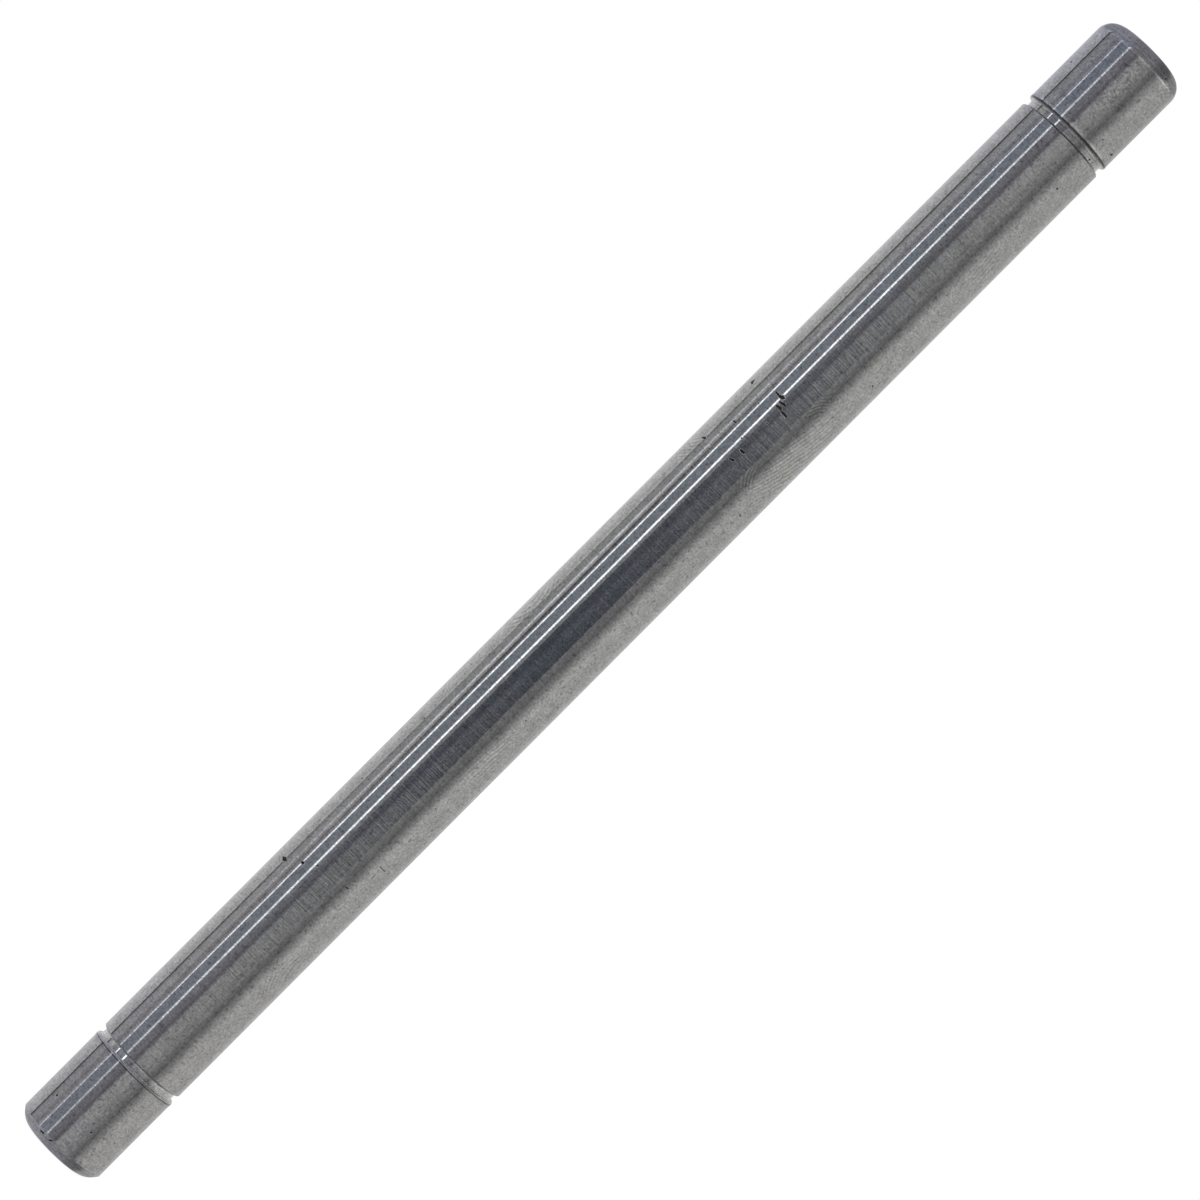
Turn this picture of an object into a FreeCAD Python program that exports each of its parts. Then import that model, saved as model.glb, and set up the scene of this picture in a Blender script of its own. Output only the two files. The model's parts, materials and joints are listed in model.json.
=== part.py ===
import FreeCAD, Part
import Sketcher
import os

# Shift rail: a straight steel rod, turned and ground as one piece.
# Both ends are chamfered and rounded, and each carries a groove for an external retaining ring.
# The rail stands on its lower end: the origin is the centre of that face and +Z runs up the axis.

NODE = "shift_rail"
NEAR = 1e-6
LEAST_CHANGE = 1e-3
FULL_TURN = 360
GROOVE_COUNT = 2

# A sketch's own origin, and the two ends of one of its lines
ORIGIN = (-1, 1)
START, END = range(1, 3)

# Driving sizes in millimetres: alias, value and what it measures
SIZES = [
    ("bar_diameter", 12.7, "ground diameter of the rod"),
    ("bar_length", 190.5, "length from end face to end face"),
    ("lower_groove_inset", 14.27, "lower end face to the nearer wall of its groove"),
    ("upper_groove_inset", 14.15, "upper end face to the nearer wall of its groove"),
    ("groove_width", 1.07, "distance between the two walls of a groove"),
    ("groove_depth", 0.5, "ground surface to the floor of a groove"),
    ("groove_inner_break", 0.12, "bevel on the land edge of a groove nearer the middle of the rod"),
    ("groove_outer_radius", 0.3, "worn rounding on the land edge of a groove nearer the rod's end"),
    ("groove_corner_radius", 0.1, "tool radius in the two floor corners of a groove"),
    ("lower_chamfer_length", 1.5, "lower chamfer along the axis"),
    ("lower_chamfer_depth", 1.16, "lower chamfer across the end face"),
    ("lower_shoulder_radius", 0.3, "near-sharp edge between lower chamfer and ground surface"),
    ("lower_nose_radius", 2.6, "full rounding between lower chamfer and end face"),
    ("upper_chamfer_length", 1.97, "upper chamfer along the axis"),
    ("upper_chamfer_depth", 0.6, "upper chamfer across the end face"),
    ("upper_shoulder_radius", 0.3, "near-sharp edge between upper chamfer and ground surface"),
    ("upper_nose_radius", 2.3, "full rounding between upper chamfer and end face"),
]


def make_sheet(doc):
    """Put the driving sizes in a spreadsheet, one aliased cell each."""
    sheet = doc.addObject("Spreadsheet::Sheet", "sizes")
    for row, (alias, value, meaning) in enumerate(SIZES, start=1):
        sheet.set(f"A{row}", meaning)
        sheet.set(f"B{row}", str(value))
        sheet.setAlias(f"B{row}", alias)
    doc.recompute()
    return sheet


def origin_item(body, role):
    """The plane or axis of the body's own origin that has this role."""
    return next(item for item in body.Origin.OriginFeatures if item.Role == role)


def draw_section(body, name, corners):
    """Draw a closed section of straight lines, with x across from the axis and y up along it.

    Lines that are drawn level or upright are held so. Their sizes are set afterwards.
    """
    sketch = body.newObject("Sketcher::SketchObject", name)
    sketch.AttachmentSupport = [(origin_item(body, "XZ_Plane"), "")]
    sketch.MapMode = "FlatFace"
    points = [FreeCAD.Vector(across, along, 0) for across, along in corners]
    following = points[1:] + points[:1]
    for point, next_point in zip(points, following):
        sketch.addGeometry(Part.LineSegment(point, next_point), False)
    for line, (point, next_point) in enumerate(zip(points, following)):
        next_line = (line + 1) % len(points)
        sketch.addConstraint(Sketcher.Constraint("Coincident", line, END, next_line, START))
        if abs(next_point.x - point.x) < NEAR:
            sketch.addConstraint(Sketcher.Constraint("Vertical", line))
        elif abs(next_point.y - point.y) < NEAR:
            sketch.addConstraint(Sketcher.Constraint("Horizontal", line))
    return sketch


def set_distance(sketch, name, direction, first, second, expression):
    """Drive the distance from one sketch point to another by an expression on the sheet."""
    gap = sketch.getPoint(*second) - sketch.getPoint(*first)
    drawn = gap.x if direction == "DistanceX" else gap.y
    index = sketch.addConstraint(Sketcher.Constraint(direction, *first, *second, drawn))
    sketch.renameConstraint(index, name)
    sketch.setExpression(f"Constraints.{name}", expression)


def turned_bar(body, size):
    """The rod between its end faces with both chamfers, revolved from one half section."""
    radius = size["bar_diameter"] / 2
    length = size["bar_length"]
    sketch = draw_section(body, "bar_section", [
        (0, 0),
        (radius - size["lower_chamfer_depth"], 0),
        (radius, size["lower_chamfer_length"]),
        (radius, length - size["upper_chamfer_length"]),
        (radius - size["upper_chamfer_depth"], length),
        (0, length),
    ])
    foot, lower_chamfer, side, upper_chamfer = range(4)
    sketch.addConstraint(Sketcher.Constraint("Coincident", foot, START, *ORIGIN))
    set_distance(sketch, "radius", "DistanceX", ORIGIN, (side, START), "sizes.bar_diameter / 2")
    set_distance(sketch, "length", "DistanceY", ORIGIN, (upper_chamfer, END), "sizes.bar_length")
    set_distance(sketch, "lower_chamfer_depth", "DistanceX",
                 (lower_chamfer, START), (lower_chamfer, END), "sizes.lower_chamfer_depth")
    set_distance(sketch, "lower_chamfer_length", "DistanceY",
                 (lower_chamfer, START), (lower_chamfer, END), "sizes.lower_chamfer_length")
    set_distance(sketch, "upper_chamfer_depth", "DistanceX",
                 (upper_chamfer, END), (upper_chamfer, START), "sizes.upper_chamfer_depth")
    set_distance(sketch, "upper_chamfer_length", "DistanceY",
                 (upper_chamfer, START), (upper_chamfer, END), "sizes.upper_chamfer_length")

    bar = body.newObject("PartDesign::Revolution", "turned_bar")
    bar.Profile = sketch
    bar.ReferenceAxis = (sketch, ["V_Axis"])
    bar.Angle = FULL_TURN
    return bar


def lower_ring_groove(body, size):
    """The square-walled groove near the lower end, cut by a section that reaches past the rod."""
    floor_radius = size["bar_diameter"] / 2 - size["groove_depth"]
    outside_radius = size["bar_diameter"] / 2 + size["groove_depth"]
    lower_wall = size["lower_groove_inset"]
    upper_wall = lower_wall + size["groove_width"]
    sketch = draw_section(body, "groove_section", [
        (floor_radius, lower_wall),
        (outside_radius, lower_wall),
        (outside_radius, upper_wall),
        (floor_radius, upper_wall),
    ])
    lower_line, outside_line, upper_line = range(3)
    set_distance(sketch, "floor_radius", "DistanceX", ORIGIN, (lower_line, START),
                 "sizes.bar_diameter / 2 - sizes.groove_depth")
    set_distance(sketch, "outside_radius", "DistanceX", ORIGIN, (outside_line, START),
                 "sizes.bar_diameter / 2 + sizes.groove_depth")
    set_distance(sketch, "inset", "DistanceY", ORIGIN, (lower_line, START),
                 "sizes.lower_groove_inset")
    set_distance(sketch, "width", "DistanceY", (lower_line, END), (upper_line, START),
                 "sizes.groove_width")

    groove = body.newObject("PartDesign::Groove", "lower_ring_groove")
    groove.Profile = sketch
    groove.ReferenceAxis = (sketch, ["V_Axis"])
    groove.Angle = FULL_TURN
    return groove


def both_ring_grooves(body, groove):
    """Repeat the lower groove at its place near the upper end."""
    pattern = body.newObject("PartDesign::LinearPattern", "both_ring_grooves")
    pattern.Originals = [groove]
    pattern.Direction = (origin_item(body, "Z_Axis"), [""])
    pattern.setExpression(
        "Length",
        "sizes.bar_length - sizes.lower_groove_inset - sizes.groove_width - sizes.upper_groove_inset")
    pattern.Occurrences = GROOVE_COUNT
    body.Tip = pattern
    return pattern


def ring_edges(feature, rings):
    """Names of the round edges at the given (radius, height) places, which must all be found."""
    names = []
    for radius, height in rings:
        for number, edge in enumerate(feature.Shape.Edges, start=1):
            curve = edge.Curve
            if not isinstance(curve, Part.Circle):
                continue
            if abs(curve.Radius - radius) < NEAR and abs(curve.Center.z - height) < NEAR:
                names.append(f"Edge{number}")
    if len(names) != len(rings):
        raise RuntimeError(f"{feature.Label} has {len(names)} of {len(rings)} edges to dress")
    return names


def dress_edges(doc, body, kind, name, rings, size_property, alias):
    """Round or bevel the edges at the given rings of the body's last feature."""
    doc.recompute()
    base = body.Tip
    dressing = body.newObject(kind, name)
    dressing.Base = (base, ring_edges(base, rings))
    dressing.setExpression(size_property, f"sizes.{alias}")
    return dressing


def dress_grooves(doc, body, size):
    """Bevel the inner land edges of both grooves, round the outer ones, and round the floor corners."""
    land = size["bar_diameter"] / 2
    floor = land - size["groove_depth"]
    outer_walls = [size["lower_groove_inset"], size["bar_length"] - size["upper_groove_inset"]]
    inner_walls = [outer_walls[0] + size["groove_width"], outer_walls[1] - size["groove_width"]]
    dress_edges(doc, body, "PartDesign::Chamfer", "groove_inner_breaks",
                [(land, wall) for wall in inner_walls], "Size", "groove_inner_break")
    dress_edges(doc, body, "PartDesign::Fillet", "groove_outer_edges",
                [(land, wall) for wall in outer_walls], "Radius", "groove_outer_radius")
    dress_edges(doc, body, "PartDesign::Fillet", "groove_floor_corners",
                [(floor, wall) for wall in inner_walls + outer_walls], "Radius", "groove_corner_radius")


def round_ends(doc, body, size):
    """Blend each chamfer into the ground surface, and its nose into the end face."""
    land = size["bar_diameter"] / 2
    for end, face_height, inward in (("lower", 0, 1), ("upper", size["bar_length"], -1)):
        shoulder_height = face_height + inward * size[f"{end}_chamfer_length"]
        nose_radius = land - size[f"{end}_chamfer_depth"]
        dress_edges(doc, body, "PartDesign::Fillet", f"{end}_shoulder",
                    [(land, shoulder_height)], "Radius", f"{end}_shoulder_radius")
        dress_edges(doc, body, "PartDesign::Fillet", f"{end}_nose",
                    [(nose_radius, face_height)], "Radius", f"{end}_nose_radius")


def make_rail(doc, size):
    """The whole rail as one body."""
    body = doc.addObject("PartDesign::Body", NODE)
    body.Label = NODE
    body.Placement = FreeCAD.Placement()
    turned_bar(body, size)
    groove = lower_ring_groove(body, size)
    both_ring_grooves(body, groove)
    dress_grooves(doc, body, size)
    round_ends(doc, body, size)
    doc.recompute()
    return body


def check_model(doc, body):
    """Stop if anything failed, or if a feature left the solid as it was."""
    for item in doc.Objects:
        if "Invalid" in item.State or "Error" in item.State:
            raise RuntimeError(f"{item.Label} did not recompute: {item.State}")
    sketches = [item for item in body.Group if item.isDerivedFrom("Sketcher::SketchObject")]
    for sketch in sketches:
        if not sketch.FullyConstrained:
            raise RuntimeError(f"{sketch.Label} is not fully constrained")
    features = [item for item in body.Group if item.isDerivedFrom("PartDesign::Feature")]
    for earlier, later in zip(features, features[1:]):
        if abs(later.Shape.Volume - earlier.Shape.Volume) < LEAST_CHANGE:
            raise RuntimeError(f"{later.Label} changed nothing")
    if body.Shape.isNull() or not body.Shape.isValid() or len(body.Shape.Solids) != 1:
        raise RuntimeError(f"{body.Label} is not one valid solid")


document = FreeCAD.newDocument("shift_rail_document")
sizes_sheet = make_sheet(document)
sheet_sizes = {alias: float(sizes_sheet.get(alias)) for alias, value, meaning in SIZES}
rail = make_rail(document, sheet_sizes)
check_model(document, rail)

os.makedirs("parts", exist_ok=True)
rail.Shape.exportStep(f"parts/{rail.Label}.step")
box = rail.Shape.optimalBoundingBox()
print(f"{rail.Label}: {box.XLength:.3f} x {box.YLength:.3f} mm, {box.ZMin:.3f} to {box.ZMax:.3f} mm up, "
      f"{rail.Shape.Volume:.1f} cubic mm, {len(rail.Shape.Faces)} faces")
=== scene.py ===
from collections import namedtuple
import json
import math

import bpy
import numpy as np
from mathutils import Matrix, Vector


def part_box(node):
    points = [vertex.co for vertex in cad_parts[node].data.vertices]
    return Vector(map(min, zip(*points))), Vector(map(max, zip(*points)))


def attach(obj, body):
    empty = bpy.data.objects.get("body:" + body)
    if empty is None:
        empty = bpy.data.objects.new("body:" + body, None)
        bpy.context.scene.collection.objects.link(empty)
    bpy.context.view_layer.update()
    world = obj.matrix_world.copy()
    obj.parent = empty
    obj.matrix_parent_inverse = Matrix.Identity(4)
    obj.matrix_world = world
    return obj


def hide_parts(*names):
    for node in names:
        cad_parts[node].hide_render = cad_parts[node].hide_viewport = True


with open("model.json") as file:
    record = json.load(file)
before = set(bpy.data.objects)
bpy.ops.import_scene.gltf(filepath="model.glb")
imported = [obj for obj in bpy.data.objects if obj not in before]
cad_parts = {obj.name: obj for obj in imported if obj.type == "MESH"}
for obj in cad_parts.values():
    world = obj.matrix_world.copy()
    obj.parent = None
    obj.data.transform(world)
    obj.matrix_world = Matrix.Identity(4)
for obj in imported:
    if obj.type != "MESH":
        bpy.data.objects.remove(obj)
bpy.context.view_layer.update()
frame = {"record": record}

# The ground steel shift rail: one turned piece that replaces the plain CAD rod, its finish and its studio.
# The rail stands on the origin with +Z up its axis. The photograph's camera looks along +Y at its middle.

MM = 0.001
NODE = "shift_rail"

# What the frame says: the rail's size and its grooves
mounts = {mount["name"]: mount for mount in frame["record"]["mounts"]}
low_corner, high_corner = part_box(NODE)
RADIUS = (high_corner.x - low_corner.x) / 2
LENGTH = high_corner.z
MIDDLE = LENGTH / 2
FLOOR_RADIUS = mounts["lower_ring_groove"]["dims"]["r_mm"] * MM
GROOVE_WIDTH = mounts["lower_ring_groove"]["dims"]["length_mm"] * MM
LOWER_GROOVE = mounts["lower_ring_groove"]["pos_m"][2]
UPPER_GROOVE = mounts["upper_ring_groove"]["pos_m"][2]
FORK_LAND = mounts["fork_land"]
FORK_LAND_FOOT = FORK_LAND["pos_m"][2] - FORK_LAND["dims"]["length_mm"] * MM / 2
INNER_BREAK = FORK_LAND_FOOT - LOWER_GROOVE - GROOVE_WIDTH / 2

# The forms of the two ends and of the groove floor, as on the CAD rod
LOWER_CHAMFER = (1.5 * MM, 1.16 * MM)
LOWER_NOSE = 2.6 * MM
UPPER_CHAMFER = (1.97 * MM, 0.6 * MM)
UPPER_NOSE = 2.3 * MM
LOWER_SHOULDER = 0.15 * MM
UPPER_SHOULDER = 1.5 * MM
FLOOR_CORNER = 0.1 * MM

# Wear beside each groove: how far its two walls have moved out, the lip thrown up on the side towards the
# rail's end (its height, and its crest and foot from the wall) and the rounding of the worn edge
Groove = namedtuple("Groove", "middle outward outer_wear inner_wear lip crest foot edge")
GROOVES = [
    Groove(LOWER_GROOVE, -1, -0.03 * MM, -0.01 * MM, 0.045 * MM, 0.35 * MM, 0.85 * MM, 0.30 * MM),
    Groove(UPPER_GROOVE, 1, 0.02 * MM, 0.06 * MM, 0.050 * MM, 0.32 * MM, 0.62 * MM, 0.20 * MM),
]
LIP_ROUND = 0.3 * MM
WORN_CORNER = 0.25 * MM
FLOOR_TAPER = 0.013 * MM

# How finely the rail is turned into faces, and how much finer round a mark. The fine rows are a power of
# two, so that a short strip can have a half or a quarter of them.
COLUMNS = 128
ROW = 0.8 * MM
ARC_TURN = math.radians(5)
LEAST_ARC_ROWS = 4
FINE_COLUMNS = 6
FINE_ROWS = 16
MARK_MARGIN = 0.12 * MM

# The photograph's camera: how far off it stands, its lens and how the picture is rolled
DISTANCE = 668.4 * MM
LENS = 163.0
SENSOR = 36.0
ROLL = math.radians(-44.93)
PICTURE = 1200
PICTURE_RIGHT = 0.74
PICTURE_DOWN = 0.38


# The rail's outline

Strip = namedtuple("Strip", "low high low_normal high_normal")


def walls(groove):
    """The heights of a groove's outer and inner wall."""
    outer = groove.middle + groove.outward * (GROOVE_WIDTH / 2 + groove.outer_wear)
    inner = groove.middle - groove.outward * (GROOVE_WIDTH / 2 + groove.inner_wear)
    return outer, inner


def groove_corners(groove):
    """One ring groove from its lip to its inner edge break, as corners of radius, height and rounding."""
    outer, inner = walls(groove)
    return [
        (RADIUS, outer + groove.outward * groove.foot, LIP_ROUND),
        (RADIUS + groove.lip, outer + groove.outward * groove.crest, LIP_ROUND),
        (RADIUS, outer, groove.edge),
        (FLOOR_RADIUS + FLOOR_TAPER, outer, FLOOR_CORNER),
        (FLOOR_RADIUS - FLOOR_TAPER, inner, WORN_CORNER),
        (RADIUS - INNER_BREAK, inner, 0),
        (RADIUS, inner - groove.outward * INNER_BREAK, 0),
    ]


def outline():
    """The rail's half section, from the middle of the lower end to the middle of the upper one."""
    return [
        (0, 0, 0),
        (RADIUS - LOWER_CHAMFER[1], 0, LOWER_NOSE),
        (RADIUS, LOWER_CHAMFER[0], LOWER_SHOULDER),
        *groove_corners(GROOVES[0]),
        *reversed(groove_corners(GROOVES[1])),
        (RADIUS, LENGTH - UPPER_CHAMFER[0], UPPER_SHOULDER),
        (RADIUS - UPPER_CHAMFER[1], LENGTH, UPPER_NOSE),
        (0, LENGTH, 0),
    ]


def line_strips(start, end):
    """A straight stretch of the outline as strips no taller than a row."""
    along = end - start
    length = np.linalg.norm(along)
    normal = np.array([along[1], -along[0]]) / length
    rows = max(1, round(length / ROW))
    places = [start + along * row / rows for row in range(rows + 1)]
    return [Strip(low, high, normal, normal) for low, high in zip(places, places[1:])]


def arc_strips(start, arriving, leaving, rounding):
    """A rounded corner as strips that turn from one direction to the next, and the place where it ends."""
    turn = math.atan2(arriving[0] * leaving[1] - arriving[1] * leaving[0], arriving @ leaving)
    side = math.copysign(1, turn)
    first = math.atan2(-arriving[0], arriving[1])
    rows = max(LEAST_ARC_ROWS, math.ceil(abs(turn) / ARC_TURN))
    angles = [first + turn * row / rows for row in range(rows + 1)]
    normals = [np.array([math.cos(angle), math.sin(angle)]) for angle in angles]
    centre = start - normals[0] * rounding * side
    places = [centre + normal * rounding * side for normal in normals]
    rim = list(zip(places, normals))
    return [Strip(low, high, below, above) for (low, below), (high, above) in zip(rim, rim[1:])], places[-1]


def outline_strips():
    """The whole outline as strips, with an arc in place of each rounded corner."""
    corners = outline()
    strips = []
    here = np.array(corners[0][:2], float)
    for before, corner, after in zip(corners, corners[1:], corners[2:]):
        place = np.array(corner[:2], float)
        arriving = place - np.array(before[:2])
        leaving = np.array(after[:2]) - place
        arriving = arriving / np.linalg.norm(arriving)
        leaving = leaving / np.linalg.norm(leaving)
        rounding = corner[2]
        if not rounding:
            strips += line_strips(here, place)
            here = place
            continue
        half_turn = math.acos(np.clip(arriving @ leaving, -1, 1)) / 2
        start = place - arriving * rounding * math.tan(half_turn)
        strips += line_strips(here, start)
        arc, here = arc_strips(start, arriving, leaving, rounding)
        strips += arc
    return strips + line_strips(here, np.array(corners[-1][:2], float))


# Pits, rust and nicks. A mark is a stroke from one place to another, wider or narrower along its way.

Mark = namedtuple("Mark", "along across to_along to_across width to_width depth rust")
Stroke = namedtuple("Stroke", "height around to_height to_around half to_half depth rust")

# Marks that the photograph shows, in millimetres along and across the rail from the middle of its picture
SEEN_MARKS = [
    # The rusty strokes beside each other, a third of the way up the upper half
    Mark(33.38, -2.90, 33.32, -2.25, 0.14, 0.24, 0.05, 0.5),
    Mark(33.32, -2.25, 33.46, -1.78, 0.24, 0.38, 0.06, 1.0),
    Mark(33.50, -1.80, 33.56, -1.45, 0.20, 0.10, 0.03, 1.0),
    Mark(32.84, -1.62, 32.98, -1.10, 0.18, 0.32, 0.05, 0.8),
    Mark(32.98, -1.10, 32.97, -0.72, 0.26, 0.16, 0.05, 0.6),
    Mark(32.26, -1.55, 32.32, -1.05, 0.26, 0.36, 0.04, 1.0),
    Mark(32.32, -1.05, 32.20, -0.78, 0.30, 0.16, 0.05, 0.8),
    Mark(32.15, -0.52, 32.13, 0.22, 0.26, 0.24, 0.06, 0.7),
    # Black pits below them on the front
    Mark(23.55, -1.15, 23.72, -0.62, 0.12, 0.26, 0.06, 0.2),
    Mark(25.26, -0.80, 25.28, -0.38, 0.28, 0.26, 0.07, 0.2),
    Mark(26.38, -1.84, 26.40, -1.76, 0.12, 0.10, 0.03, 0.1),
    Mark(29.85, -0.92, 29.93, -0.88, 0.16, 0.12, 0.03, 0.6),
    Mark(23.02, -5.32, 23.20, -5.02, 0.14, 0.24, 0.06, 0.0),
    Mark(27.20, -4.00, 27.20, -3.70, 0.14, 0.16, 0.05, 0.0),
    Mark(32.10, -5.84, 32.40, -5.78, 0.20, 0.28, 0.06, 0.0),
    Mark(32.08, -5.70, 32.10, -5.66, 0.24, 0.20, 0.05, 0.0),
    Mark(30.84, -3.38, 30.86, -3.34, 0.12, 0.10, 0.02, 0.0),
    Mark(19.48, 4.79, 19.50, 4.81, 0.18, 0.16, 0.05, 0.0),
    Mark(2.64, -2.70, 2.64, -2.66, 0.14, 0.12, 0.04, 0.0),
    Mark(8.30, 1.72, 8.30, 1.76, 0.12, 0.12, 0.03, 0.0),
    Mark(42.28, 5.08, 42.30, 5.12, 0.16, 0.14, 0.04, 0.0),
    Mark(75.50, 3.98, 75.52, 4.02, 0.18, 0.16, 0.05, 0.1),
    Mark(83.18, 5.72, 83.24, 5.84, 0.26, 0.22, 0.04, 1.0),
    Mark(87.76, -5.80, 87.78, -5.76, 0.18, 0.16, 0.05, 0.0),
    Mark(83.74, 3.68, 83.76, 3.72, 0.14, 0.14, 0.03, 0.2),
    Mark(94.58, 3.96, 94.60, 4.02, 0.20, 0.16, 0.05, 0.1),
    # The black chip and its neighbours on the lower half
    Mark(-49.94, -5.36, -50.00, -5.06, 0.16, 0.46, 0.08, 0.0),
    Mark(-50.00, -5.06, -49.98, -4.78, 0.40, 0.16, 0.07, 0.0),
    Mark(-48.78, -3.34, -48.74, -3.12, 0.14, 0.30, 0.04, 0.0),
    Mark(-47.72, -1.62, -47.68, -1.58, 0.18, 0.16, 0.03, 0.0),
    Mark(-47.12, 2.64, -47.06, 3.06, 0.10, 0.12, 0.03, 0.0),
    Mark(-42.38, 3.90, -42.38, 4.80, 0.07, 0.07, 0.01, 0.0),
    Mark(-59.60, 1.02, -59.58, 1.05, 0.14, 0.12, 0.03, 0.0),
    Mark(-36.20, -5.32, -36.18, -5.28, 0.12, 0.12, 0.03, 0.0),
    Mark(-32.50, 3.74, -32.48, 3.76, 0.12, 0.12, 0.03, 0.0),
    Mark(-25.60, -5.14, -25.58, -5.10, 0.14, 0.12, 0.03, 0.0),
    Mark(-14.40, -5.00, -14.38, -4.96, 0.14, 0.12, 0.03, 0.0),
    Mark(-17.00, 3.94, -16.98, 3.96, 0.12, 0.12, 0.03, 0.0),
    Mark(-90.34, -4.42, -90.32, -4.34, 0.20, 0.18, 0.05, 0.0),
    Mark(-86.06, -2.72, -86.04, -2.70, 0.14, 0.14, 0.04, 0.0),
    Mark(-90.64, 1.84, -90.60, 1.88, 0.18, 0.14, 0.02, 0.2),
    Mark(-94.86, -2.82, -94.84, -2.30, 0.16, 0.18, 0.06, 0.0),
    Mark(-94.94, -1.20, -94.78, -0.85, 0.14, 0.18, 0.05, 0.0),
    # A nick in the edge of the lower groove
    Mark(-82.12, -0.58, -82.11, -0.55, 0.15, 0.14, 0.02, 0.0),
    # A burr in the upper groove
    Mark(80.88, 4.62, 80.89, 4.68, 0.20, 0.18, 0.03, 0.2),
]

# Pits round the side that the photograph does not show, sparse and small like the ones that it does
HIDDEN_PITS = 30
HIDDEN_FROM = math.radians(80)
HIDDEN_SEED = 12
HIDDEN_WIDTHS = (0.10 * MM, 0.24 * MM)
HIDDEN_LENGTH = 0.35 * MM
HIDDEN_DEPTH = 0.04 * MM
HIDDEN_RUST = 0.6
PLAIN_END = 20 * MM

# How a mark's edge runs: how much wider it has spread, how ragged it is in half widths, with a fine and a
# coarse wave, how far out it fades in half widths, and the step over which its slope is taken
SPREAD = 1.2
RAGGED = 0.28
RAGGED_FINE = 0.033 * MM
RAGGED_COARSE = 0.051 * MM
MASK_REACH = 1.5
SLOPE_STEP = 0.01 * MM


def seen_place(along, across):
    """Height on the rail and angle round it where the camera's line of sight meets its surface."""
    square = across ** 2 + DISTANCE ** 2
    root = math.sqrt(DISTANCE ** 4 - square * (DISTANCE ** 2 - RADIUS ** 2))
    share = (DISTANCE ** 2 - root) / square
    return MIDDLE + along * share, math.atan2(across * share, DISTANCE * (1 - share))


def seen_strokes():
    """The photograph's marks as strokes on the unrolled surface."""
    strokes = []
    for mark in SEEN_MARKS:
        height, angle = seen_place(mark.along * MM, mark.across * MM)
        to_height, to_angle = seen_place(mark.to_along * MM, mark.to_across * MM)
        strokes.append(Stroke(height, angle * RADIUS, to_height, to_angle * RADIUS,
                              mark.width * SPREAD * MM / 2, mark.to_width * SPREAD * MM / 2,
                              mark.depth * MM, mark.rust))
    return strokes


def hidden_strokes():
    """Seeded pits round the back."""
    draw = np.random.default_rng(HIDDEN_SEED)
    strokes = []
    for _ in range(HIDDEN_PITS):
        height = draw.uniform(PLAIN_END, LENGTH - PLAIN_END)
        around = draw.uniform(HIDDEN_FROM, 2 * math.pi - HIDDEN_FROM) * RADIUS
        length = draw.uniform(0, HIDDEN_LENGTH)
        half, to_half = draw.uniform(*HIDDEN_WIDTHS, 2) / 2
        rust = draw.uniform(0, HIDDEN_RUST)
        strokes.append(Stroke(height, around, height, around + length, half, to_half, HIDDEN_DEPTH, rust))
    return strokes


def smooth(value):
    """A soft step from 0 to 1."""
    value = np.clip(value, 0, 1)
    return value * value * (3 - 2 * value)


def wrapped(around):
    """A distance round the rail, the short way."""
    whole = 2 * math.pi * RADIUS
    return (around + whole / 2) % whole - whole / 2


def mark_distance(stroke, height, around):
    """How far places are from a stroke, in its half widths, with a ragged edge."""
    run = np.array([stroke.to_height - stroke.height, stroke.to_around - stroke.around])
    up = height - stroke.height
    side = wrapped(around - stroke.around)
    share = np.clip((up * run[0] + side * run[1]) / (run @ run), 0, 1)
    half = stroke.half + (stroke.to_half - stroke.half) * share
    ragged = (np.sin(around / RAGGED_FINE + 2 * np.sin(height / RAGGED_COARSE))
              + np.sin(height / RAGGED_FINE + 2 * np.sin(around / RAGGED_COARSE))) / 2
    return np.hypot(up - run[0] * share, side - run[1] * share) / half + RAGGED * ragged


def mark_depth(strokes, height, around):
    """How deep the marks are pressed in at places on the unrolled surface."""
    depth = np.zeros(len(height))
    for stroke in strokes:
        inside = smooth(MASK_REACH - mark_distance(stroke, height, around))
        depth = np.maximum(depth, stroke.depth * inside)
    return depth


def mark_masks(strokes, height, around):
    """How much of a place is pit, and how rusty that pit is."""
    pit = np.zeros(len(height))
    rust = np.zeros(len(height))
    for stroke in strokes:
        inside = np.clip(MASK_REACH - mark_distance(stroke, height, around), 0, 1)
        pit = np.maximum(pit, inside)
        rust = np.maximum(rust, inside * stroke.rust)
    return pit, rust


# The rail's mesh

def column_angle(column):
    """The angle round the rail of a fine column, from the back round by the left and the front."""
    return column * 2 * math.pi / (COLUMNS * FINE_COLUMNS) - math.pi


def fine_cells(strips, strokes):
    """The cells of strip and column that a mark lies in, which get finer faces."""
    cells = set()
    angle_step = 2 * math.pi / COLUMNS
    for stroke in strokes:
        reach = max(stroke.half, stroke.to_half) * MASK_REACH + MARK_MARGIN
        low = min(stroke.height, stroke.to_height) - reach
        high = max(stroke.height, stroke.to_height) + reach
        left = (min(stroke.around, stroke.to_around) - reach) / RADIUS + math.pi
        right = (max(stroke.around, stroke.to_around) + reach) / RADIUS + math.pi
        columns = range(math.floor(left / angle_step), math.floor(right / angle_step) + 1)
        for row, strip in enumerate(strips):
            if strip.low[1] < high and strip.high[1] > low:
                cells |= {(row, column % COLUMNS) for column in columns}
    return cells


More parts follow.
